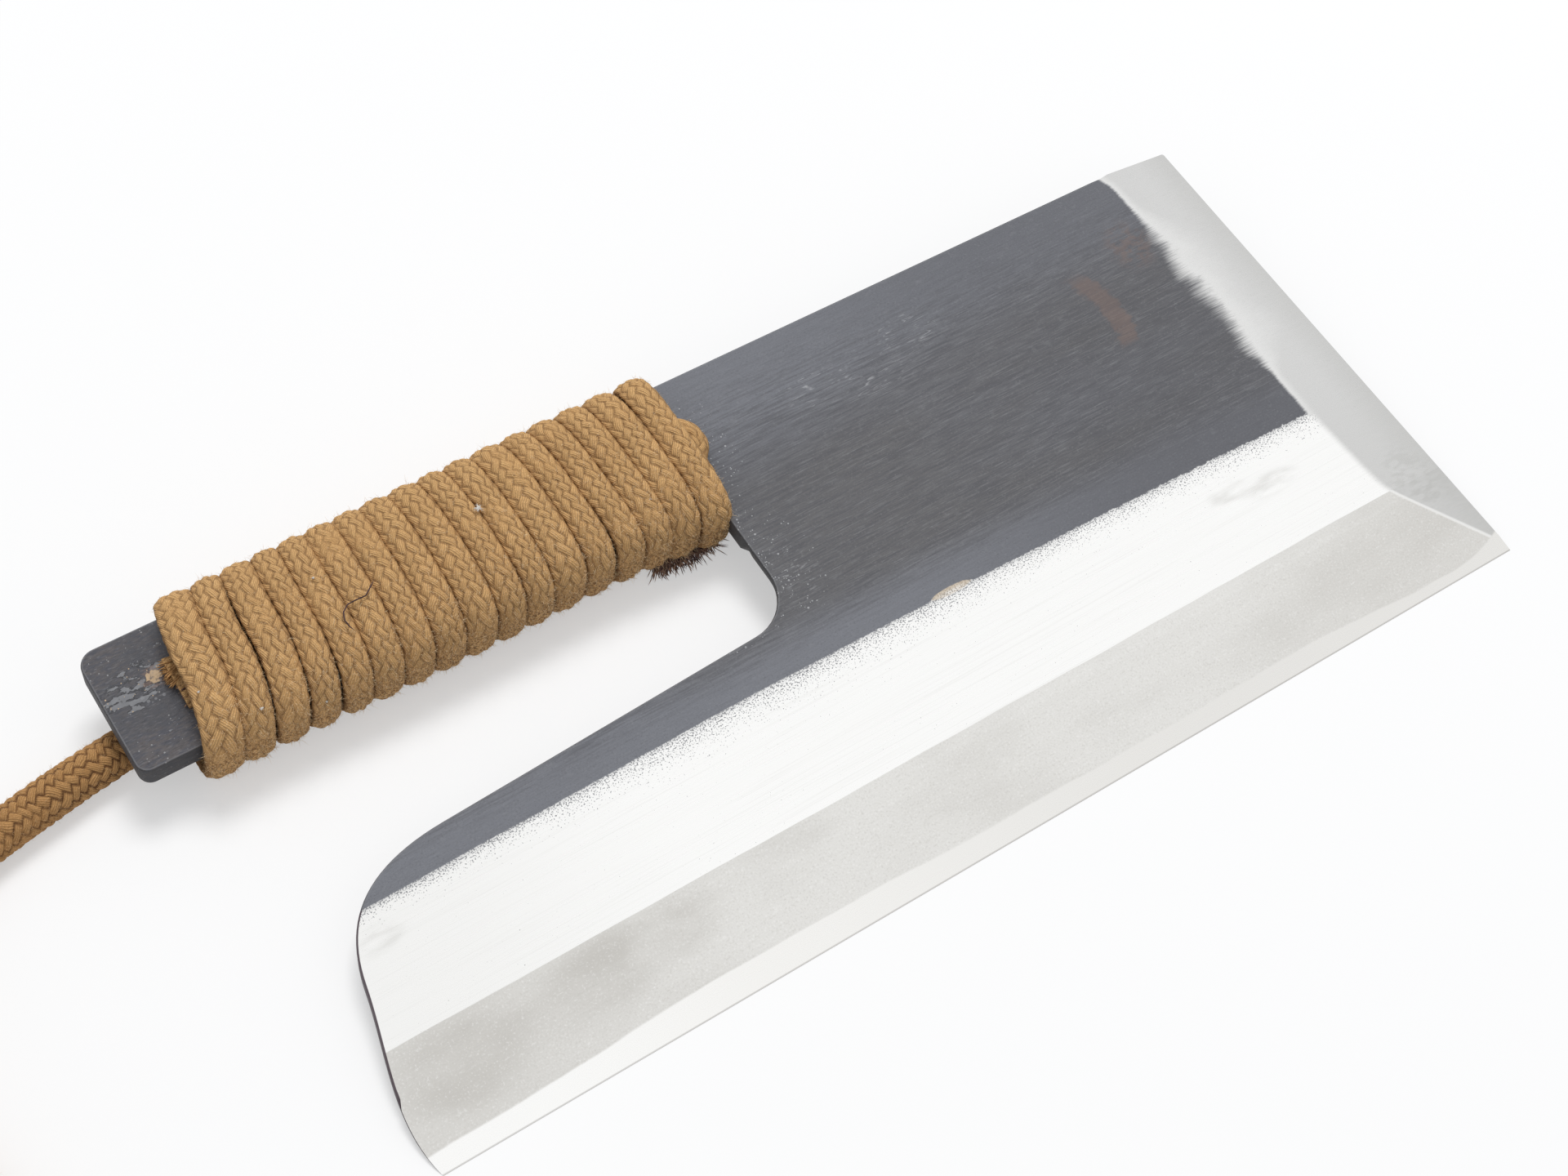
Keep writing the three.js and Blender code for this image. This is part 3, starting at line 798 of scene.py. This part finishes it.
def braided_cord(name, path, outward, half_width, half_height, lay, sides, place, material, pressed=True):
    """A cord along a path, oval in section, with its plaits standing in the mesh."""
    # A pressed cord has its plaits drawn to the outer side and flattened where turn meets turn.
    outer, spread, flattened = (0.45, 0.024, 0.6) if pressed else (0, 0, 0)
    rings = len(path)
    mesh, ring, side = flat_sheet(name, rings, sides)
    share = np.arange(sides + 1) / sides - 0.5
    angle = math.pi / 2 + 2 * math.pi * share - outer * np.sin(2 * math.pi * share)
    over, up = np.cos(angle), np.sin(angle)
    steps = np.hypot(np.diff(over) * np.mean(half_width), np.diff(up) * np.mean(half_height))
    around = np.concatenate([[0], np.cumsum(steps)]) / np.sum(steps)
    around = around + spread * np.sin(2 * math.pi * around)
    tangent = unit(np.gradient(path, axis=0))
    normal = unit(outward - tangent * np.sum(outward * tangent, axis=1, keepdims=True))
    beside = np.cross(tangent, normal)
    run, turn = (travelled(path) / lay)[ring], around[side]

    def wave(height, to_a_lay, round_cord, shift):
        return height * np.sin(2 * math.pi * (to_a_lay * run + round_cord * turn) + shift)

    slack = wave(0.013, 2.3, 1, 0) + wave(0.010, 0.9, -2, 1.3)
    sway = wave(0.011, 1.7, 2, 0.4) + wave(0.010, 3.1, -1, 2.1)
    run, turn = run + slack, turn + sway
    sunk = (1 - plait_height(run, turn)) * plait_relief * (1 - flattened * over[side] ** 2)
    wide = over[side] * (np.broadcast_to(half_width, rings)[ring] - sunk)
    high = up[side] * (np.broadcast_to(half_height, rings)[ring] - sunk)
    points = path[ring] + beside[ring] * wide[:, None] + normal[ring] * high[:, None]
    corner = np.empty(len(mesh.loops), int)
    mesh.loops.foreach_get("vertex_index", corner)
    braid = np.stack([run[corner], turn[corner]], axis=1)
    mesh.uv_layers.new(name="braid").data.foreach_set("uv", braid.ravel())
    return rolled_up(mesh, points, place, material, np.zeros(len(points), int))


def along_grip(base, course):
    """A measure that changes along the grip, from its values at a few places."""
    return np.interp(base, list(course), list(course.values()))


def wound_path(turn):
    """Middle line of the winding, the way out from it, and half the cord's width and thickness."""
    widths, gap_shade = np.array(turn_widths), np.array(turn_gaps)
    crowns = winding_start + np.cumsum(widths + gap_shade) - gap_shade - widths / 2
    at_crown = np.arange(len(widths)) + 0.5
    pitch = (crowns[-1] - crowns[0]) / (len(widths) - 1)
    base = np.interp(turn, at_crown, crowns)
    base = base + np.minimum(turn - at_crown[0], 0) * pitch + np.maximum(turn - at_crown[-1], 0) * pitch
    swing = np.sin(2 * math.pi * turn)
    slant = np.where(swing > 0, along_grip(base, edge_side_lean), along_grip(base, spine_side_lean))
    angle = -math.pi / 2 - 2 * math.pi * turn
    to_spine, to_top = np.cos(angle), np.sin(angle)
    bow = 2 / winding_squareness
    v = grip_middle + winding_half_width * np.sign(to_spine) * np.abs(to_spine) ** bow
    z = winding_middle + winding_half_height * np.sign(to_top) * np.abs(to_top) ** bow
    v = v - along_grip(base, edge_side_bulge) * np.clip(-to_spine, 0, 1) ** 2
    v = v + spine_side_bulge * np.clip(to_spine, 0, 1) ** 2
    path = np.stack([base - slant * swing, v, z], axis=1)
    outward = np.stack([0 * turn, to_spine * winding_half_height, to_top * winding_half_width], axis=1)
    flank_shade = np.where(to_spine > 0, spine_side_thickness, edge_side_thickness)
    thickness = cord_thickness + (flank_shade - cord_thickness) * np.abs(to_spine) ** 2
    width = np.interp(turn, at_crown, widths * pressed_together)
    return path, outward, width / 2, thickness / 2


def even_turns(start, end, rings):
    """Turn numbers that step along the cord by equal lengths."""
    steps_to_ring = 20
    turn = np.linspace(start, end, steps_to_ring * rings)
    way = travelled(wound_path(turn)[0])
    return np.interp(np.linspace(0, way[-1], rings), way, turn)


wound_cotton = cotton_finish("wound_cotton", worn_and_flank_shaded=True)
turns = even_turns(-tucked_under, len(turn_widths) + tucked_under, grip_rings)
path, outward, half_width, half_height = wound_path(turns)
grip_cord = braided_cord(
    "grip_cord", path, outward, half_width, half_height, wound_lay, grip_sides, blade_place, wound_cotton
)
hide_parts("grip_winding")


# Tucked end of the grip cord: it comes out from under the last turns on the edge side, cut off short
# and frayed into its yarns.
rng = np.random.default_rng(7)
tuck_yarns = 700
tuck_middle = (99.4, 84.5, -5.2)
tuck_half_width = 6.2
tuck_yarn_radius = 0.09
above_table = 0.45
yarn_rings = 7
fibre_scale = 800.0
frayed_dark = (0.150, 0.095, 0.085, 1)
frayed_pale = (0.480, 0.310, 0.220, 1)


def loose_yarns(name, paths, radius, place, material, sides=5):
    """Thin strands, each along its own path and drawn to a point at both ends."""
    count, rings = paths.shape[:2]
    mesh, ring, side = flat_sheet(name, count * rings, sides)
    tangent = unit(np.gradient(paths, axis=1)).reshape(-1, 3)
    slanting = (0.31, 0.23, 0.92)
    beside = unit(np.cross(tangent, slanting))
    normal = np.cross(tangent, beside)
    angle = 2 * math.pi * side / sides
    between_ends = np.arange(rings) % (rings - 1) > 0
    taper = np.tile(radius * between_ends, count)[ring]
    points = paths.reshape(-1, 3)[ring]
    points = points + beside[ring] * (taper * np.cos(angle))[:, None]
    points = points + normal[ring] * (taper * np.sin(angle))[:, None]
    return rolled_up(mesh, points, place, material, ring // rings)


def fibre_finish(name, dark, pale, roughness=0.9, gloss=0.1):
    """Loose fibres of two shades, which change along each of them."""
    material, start = new_finish(name)
    shade = start.node("TexCoord", output="Object").noise((fibre_scale,) * 3).fade(0.40, 0.62)
    coat(material, base_color=shade.over(dark, pale), roughness=roughness, specular_ior_level=gloss)
    return material


def sprung(start, heading, reach, bend):
    """Yarns that leave their starts along a heading and bend away towards their tips."""
    along = np.linspace(0, 1, yarn_rings)[None, :, None]
    return start[:, None] + heading[:, None] * reach[:, None, None] * along + bend[:, None] * along ** 2


def tucked_end():
    u, v, z = tuck_middle
    spread = rng.uniform(-1, 1, tuck_yarns)
    start = np.stack([
        u + tuck_half_width * spread,
        v + rng.uniform(-0.4, 1.2, tuck_yarns),
        z + rng.uniform(-1.3, 1.2, tuck_yarns),
    ], axis=1)
    reach = rng.uniform(1.2, 4.4, tuck_yarns) * (1 - 0.25 * np.abs(spread))
    heading = np.stack([
        0.35 * spread + rng.normal(0, 0.34, tuck_yarns),
        np.full(tuck_yarns, -1.0),
        -0.20 + rng.normal(0, 0.20, tuck_yarns),
    ], axis=1)
    bend = rng.normal(0, 1.1, (tuck_yarns, 3)) * (1, 0.6, 0.5)
    paths = sprung(start, heading, reach, bend)
    floor = -paths[:, :, 1] * math.tan(lean) + above_table
    paths[:, :, 2] = np.maximum(paths[:, :, 2], floor)
    return paths


frayed_cotton = fibre_finish("frayed_cotton", frayed_dark, frayed_pale)
loose_yarns("tucked_end", tucked_end(), tuck_yarn_radius, blade_place, frayed_cotton)


# Laid bight: a doubled cord on the upper face of the tang, pressed flat by the turns over it. Its bend
# stands out at the blade end and its two cut ends fan out at the butt.
bight_start = 2.4
bight_height = 5.59
bight_bend = 105.4
bight_half_width = 3.2
bight_flat = 0.9
bight_rings = 210
bend_rings = 60
bend_radius = 3.7
bend_middle = 98.8
butt_middle = 99.8
butt_spread = 2.5
swell_start = 105.0
swell_reach = 3.2
swell_rise = 0.75
swell_fullness = 1.1
small_cord_sides = 28
upward = np.array((0.0, 0.0, 1.0))
tuft_dark = (0.310, 0.170, 0.070, 1)
tuft_pale = (0.515, 0.295, 0.127, 1)


def eased(share):
    """0 up to a share of 0 and 1 from a share of 1 on, smooth between them."""
    share = np.clip(share, 0, 1)
    return share * share * (3 - 2 * share)


def bight_path():
    out = np.linspace(bight_start, bight_bend, bight_rings)
    bend = np.linspace(-math.pi / 2, math.pi / 2, bend_rings)[1:-1]
    apart = np.linspace(butt_spread, bend_radius, bight_rings)
    middle = np.linspace(butt_middle, bend_middle, bight_rings)
    turned = bend_middle + bend_radius * np.sin(bend)
    u = np.concatenate([out, bight_bend + bend_radius * np.cos(bend), out[::-1]])
    v = np.concatenate([middle - apart, turned, (middle + apart)[::-1]])
    swell = eased((u - swell_start) / swell_reach)
    path = np.stack([u, v, bight_height + swell_rise * swell], axis=1)
    return path, bight_flat + swell_fullness * swell


path, half_height = bight_path()
bight = braided_cord(
    "bight_cord", path, upward, bight_half_width, half_height, wound_lay, small_cord_sides, blade_place,
    wound_cotton,
)
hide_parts("laid_bight")


def fan_of_yarns(count, u, v, z, reach, spread, lift):
    """Yarns that fan out from a cut end towards the butt."""
    across = rng.uniform(-1, 1, count)
    start = np.stack([np.full(count, u), v + 1.5 * across, z + rng.uniform(-0.8, 0.8, count)], axis=1)
    length = reach * rng.uniform(0.55, 1.1, count)
    aside = spread * across - 0.25 + rng.normal(0, 0.14, count)
    heading = np.stack([0 * across - 1, aside, lift + 0 * across], axis=1)
    bend = rng.normal(0, 0.45, (count, 3)) * (0.5, 1, 0.6)
    return sprung(start, heading, length, bend)


tuft_cotton = fibre_finish("tuft_cotton", tuft_dark, tuft_pale)
upper_fan = fan_of_yarns(90, 5.0, 102.4, 5.6, 3.9, 0.08, -0.02)
loose_yarns("upper_tuft", upper_fan, 0.13, blade_place, tuft_cotton)
lower_fan = fan_of_yarns(30, 4.4, 98.0, 5.4, 2.2, 0.10, -0.05)
loose_yarns("lower_tuft", lower_fan, 0.16, blade_place, frayed_cotton)


# Lanyard under the tang: the stretch of a second braided cord that the turns press against the under
# side. It is full and round where it leaves at the butt and flat under the winding.
run_top = -1.8
run_end = 86.0
run_rings = 230
run_thickness = 2.6
run_half_width = 4.5
rounding_start = 2.5
rounding_reach = 11
rounding_rise = 4.4
rounding_drift = 2.1
rounding_narrows = 0.6
tail_lay = 20.0
lanyard_dye = (0.76, 0.69, 0.63, 1)


def run_path():
    u = np.linspace(-tang_overhang, run_end, run_rings)
    swell = eased((rounding_start - u) / rounding_reach)
    thickness = run_thickness + rounding_rise * swell
    path = np.stack([u, grip_middle - rounding_drift * swell, run_top - thickness / 2], axis=1)
    return path, run_half_width - rounding_narrows * swell, thickness / 2


lanyard_cotton = cotton_finish("lanyard_cotton", lanyard_dye)
path, half_width, half_height = run_path()
run = braided_cord(
    "run_cord", path, -upward, half_width, half_height, tail_lay, small_cord_sides, blade_place,
    lanyard_cotton, False,
)
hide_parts("lanyard_run")


# Lanyard tail: the free end of the same cord, which leaves under the butt and lies in a loose bend on
# the table. Its far end is bare, cut and frayed.
tail_diameter = 8.4
tail_rings = 420
tail_sides = 44
tail_flattening = 0.6
pressed_from = 10
pressed_over = 12
tail_route = (
    (-1.2, 2.0), (0.9, 2.4), (9, 3.9), (19, 5.9), (30, 8.6), (41, 13.5), (50, 22), (55, 33),
    (56.5, 45), (55, 57), (52.5, 69), (51.5, 79),
)
route_steps = 40
fray_yarns = 90
fray_yarn_radius = 0.24
fray_reach = 3.6


def tail_path():
    """A smooth line through the route, in metres on the table, stepped by equal lengths."""
    middle = heel_point.y + grip_middle * MILLIMETRE
    route = [(butt_end - out * MILLIMETRE, middle - aside * MILLIMETRE) for out, aside in tail_route]
    route = np.array([(x, y, tail_diameter / 2 * MILLIMETRE) for x, y in route])
    slope = np.gradient(route, axis=0)
    line = []
    for start, end, leave, arrive in zip(route, route[1:], slope, slope[1:]):
        handles = [Vector(p) for p in (start, start + leave / 3, end - arrive / 3, end)]
        line += interpolate_bezier(*handles, route_steps)[:-1]
    line = np.array([tuple(point) for point in line] + [tuple(route[-1])])
    way = travelled(line)
    even = np.linspace(0, way[-1], tail_rings)
    return np.stack([np.interp(even, way, line[:, axis]) for axis in range(3)], axis=1)


butt_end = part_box("blade_body")[0].x
on_table = Matrix.Scale(MILLIMETRE, 4)
path = tail_path()
pressed = np.clip(((path[:, 0] - butt_end) / MILLIMETRE + pressed_from) / pressed_over, 0, 1)
path[:, 2] -= tail_flattening * MILLIMETRE * pressed
half_height = tail_diameter / 2 - tail_flattening * pressed
tail = braided_cord(
    "tail_cord", path / MILLIMETRE, upward, tail_diameter / 2, half_height, tail_lay, tail_sides, on_table,
    lanyard_cotton, False,
)
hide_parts("lanyard_tail")


def tail_fray():
    """Yarns that spread a little past the cut end of the tail."""
    tip = path[-1] / MILLIMETRE
    heading = unit(path[-1] - path[-4])
    beside = np.cross(heading, upward)
    turn = rng.uniform(0, 2 * math.pi, fray_yarns)
    far = np.sqrt(rng.uniform(0, 1, fray_yarns)) * fray_reach
    offset = beside * (far * np.cos(turn))[:, None] + upward * (far * np.sin(turn))[:, None]
    length = rng.uniform(1.8, 4.6, fray_yarns)
    bend = offset * 0.16 + rng.normal(0, 0.25, (fray_yarns, 3))
    paths = sprung(tip - heading + offset, heading[None], length, bend)
    paths[:, :, 2] = np.maximum(paths[:, :, 2], 0.3)
    return paths


fray = loose_yarns("tail_fray", tail_fray(), fray_yarn_radius, on_table, tuft_cotton)


# Stray fibres: the nap of the cotton on the crowns and the low side of the turns, on the bight and on
# the tail, a dark thread caught on the winding, and specks of white lint.
shortest_hair = 0.0002
hair_root = 0.0001
hair_above_table = 0.00005
facing_up = ((0, 0, 1), -0.3)
low_side = ((0, -0.94, 0.34), 0.5)
nap_dark = (0.660, 0.445, 0.235, 1)
nap_pale = (0.840, 0.593, 0.337, 1)
worn_dark = (0.880, 0.665, 0.415, 1)
worn_pale = (0.985, 0.790, 0.517, 1)


def nap(piece, count, longest, seed, facing):
    """Short curled hairs on the side of a cord that faces one way, in metres."""
    way, within = facing
    pick = np.random.default_rng(seed)
    mesh = piece.data
    spots = np.empty(3 * len(mesh.vertices))
    mesh.vertices.foreach_get("co", spots)
    spots = spots.reshape(-1, 3)
    leaves = np.array([tuple(normal.vector) for normal in mesh.vertex_normals])
    chosen = pick.choice(np.flatnonzero(leaves @ np.array(way) > within), count)
    start, leave = spots[chosen], leaves[chosen]
    length = pick.uniform(shortest_hair, longest, count) * pick.uniform(0.5, 1, count)
    drift = pick.normal(0, 0.8, (count, 3))
    curl = pick.normal(0, 0.9, (count, 3))
    along = np.linspace(0, 1, 3)[None, :, None]
    hairs = (leave * 0.7 + drift)[:, None] * along + curl[:, None] * along ** 2
    hairs = start[:, None] - leave[:, None] * hair_root + hairs * length[:, None, None]
    hairs[:, :, 2] = np.maximum(hairs[:, :, 2], hair_above_table)
    return hairs / MILLIMETRE


nap_cotton = fibre_finish("nap_cotton", nap_dark, nap_pale)
worn_cotton = fibre_finish("worn_cotton", worn_dark, worn_pale)
for name, cord, count, longest, seed, facing, radius, cotton in (
    ("grip_nap", grip_cord, 30000, 0.0006, 3, facing_up, 0.024, nap_cotton),
    ("side_nap", grip_cord, 26000, 0.0007, 4, low_side, 0.032, worn_cotton),
    ("tail_nap", tail, 6000, 0.0006, 5, facing_up, 0.022, nap_cotton),
    ("bight_nap", bight, 3000, 0.0006, 9, facing_up, 0.024, nap_cotton),
):
    loose_yarns(name, nap(cord, count, longest, seed, facing), radius, on_table, cotton, 3)

thread_points = (
    (41.3, 98.4, 11.4), (39.9, 97.2, 11.7), (38.2, 95.9, 11.7), (36.2, 96.0, 11.6), (34.6, 96.0, 11.5),
    (33.2, 94.9, 11.55), (32.6, 93.3, 11.55), (32.8, 91.8, 11.4), (33.3, 90.6, 11.2),
)
thread_dark = (0.041, 0.022, 0.025, 1)
thread_pale = (0.073, 0.040, 0.045, 1)
dark_thread = fibre_finish("dark_thread", thread_dark, thread_pale, 0.8, 0.5)
loose_yarns("stray_thread", np.array([thread_points]), 0.13, blade_place, dark_thread, 6)

lint_spots = (
    (64.9, 102.4, 11.3, 1.1), (88.9, 87.3, 8.9, 0.5), (105.0, 86.8, 8.8, 0.6), (93.9, 89.4, 9.8, 0.4),
    (12.5, 86.2, 8.9, 0.4), (23.5, 83.6, 5.4, 0.35), (32.0, 104.0, 11.3, 0.3), (4.3, 93.3, 11.2, 0.3),
)
lint_strands = 22
lint_dark = (0.760, 0.735, 0.690, 1)
lint_pale = (0.896, 0.883, 0.849, 1)


def lint():
    """Small tangles of white fibre, each round its own spot."""
    pick = np.random.default_rng(21)
    along = np.linspace(-1, 1, 7)[None, :, None]
    tangles = []
    for u, v, z, size in lint_spots:
        heading, bend, twist = pick.normal(0, 0.34, (3, lint_strands, 1, 3))
        curl = heading * along + bend * along ** 2 + twist * along ** 3
        tangles.append(np.array((u, v, z)) + size * curl * (1, 1, 0.45))
    return np.concatenate(tangles)


white_lint = fibre_finish("white_lint", lint_dark, lint_pale, 0.9, 0.5)
loose_yarns("white_lint", lint(), 0.045, blade_place, white_lint, 4)


# Floor, light and camera: a plain white sheet, a broad soft lamp high behind the spine and towards the
# toe, and a camera that looks down from the edge side, over the butt, as in the photograph.
floor_half = 3
floor_white = (0.99, 0.99, 0.99, 1)
floor_lift = 0.46
pure_white = (1, 1, 1, 1)
room_colour = (0.97, 0.98, 1.0, 1)
room_light = 0.46
lamp_size = (1.9, 1.5)
lamp_energy = 96
lamp_place = (1.1, 1.4, 3.5)
camera_place = Vector((-165.2, -196.6, 368.4)) * MILLIMETRE
camera_aim = Vector((-2.9, 9.7, 0)) * MILLIMETRE
camera_roll = math.radians(5.38)
camera_lens = 54.1


def seen_directly(start):
    """1 for what the camera sees straight, in a reflection or through glass, 0 for light that falls."""
    rays = start.node("LightPath")
    seen = ("Is Camera Ray", "Is Glossy Ray", "Is Transmission Ray")
    return sum((rays.output(name) for name in seen), 0.0)


def pale_floor():
    bm = bmesh.new()
    bmesh.ops.create_grid(bm, x_segments=1, y_segments=1, size=floor_half)
    floor = linked("floor", mesh_from("floor", bm))
    material, start = new_finish("white_sheet")
    coat(material, base_color=floor_white, roughness=0.9, specular_ior_level=0.0)
    surface = Paint(start.tree, start.tree.nodes["Principled BSDF"].outputs[0])
    white = start.node("Emission", {}, {"Color": pure_white, "Strength": 1.0})
    lifted = start.node("MixShader", {}, {0: seen_directly(start) * floor_lift, 1: surface, 2: white})
    start.tree.links.new(lifted.socket, start.tree.nodes["Material Output"].inputs["Surface"])
    floor.data.materials.append(material)


def studio_light():
    world = bpy.data.worlds.new("studio")
    bpy.context.scene.world = world
    world.use_nodes = True
    start = Paint(world.node_tree)
    dim = start.node("Background", {}, {"Color": room_colour, "Strength": room_light})
    white = start.node("Background", {}, {"Color": pure_white, "Strength": 1.0})
    both = start.node("MixShader", {}, {0: seen_directly(start), 1: dim, 2: white})
    start.tree.links.new(both.socket, start.tree.nodes["World Output"].inputs["Surface"])

    lamp = bpy.data.lights.new("softbox", "AREA")
    lamp.shape = "RECTANGLE"
    lamp.size, lamp.size_y = lamp_size
    lamp.energy = lamp_energy
    softbox = linked("softbox", lamp)
    softbox.location = lamp_place
    softbox.rotation_euler = (-softbox.location).to_track_quat("-Z", "Y").to_euler()
    softbox.visible_glossy = False


def photo_camera():
    data = bpy.data.cameras.new("photo_camera")
    data.sensor_width = 36
    data.lens = camera_lens
    data.clip_start = 0.01
    camera = linked("photo_camera", data)
    camera.location = camera_place
    level = (camera_aim - camera_place).to_track_quat("-Z", "Y").to_matrix()
    camera.rotation_euler = (level @ Matrix.Rotation(camera_roll, 3, "Z")).to_euler()
    bpy.context.scene.camera = camera


pale_floor()
studio_light()
photo_camera()
bpy.context.scene.view_settings.view_transform = "Standard"
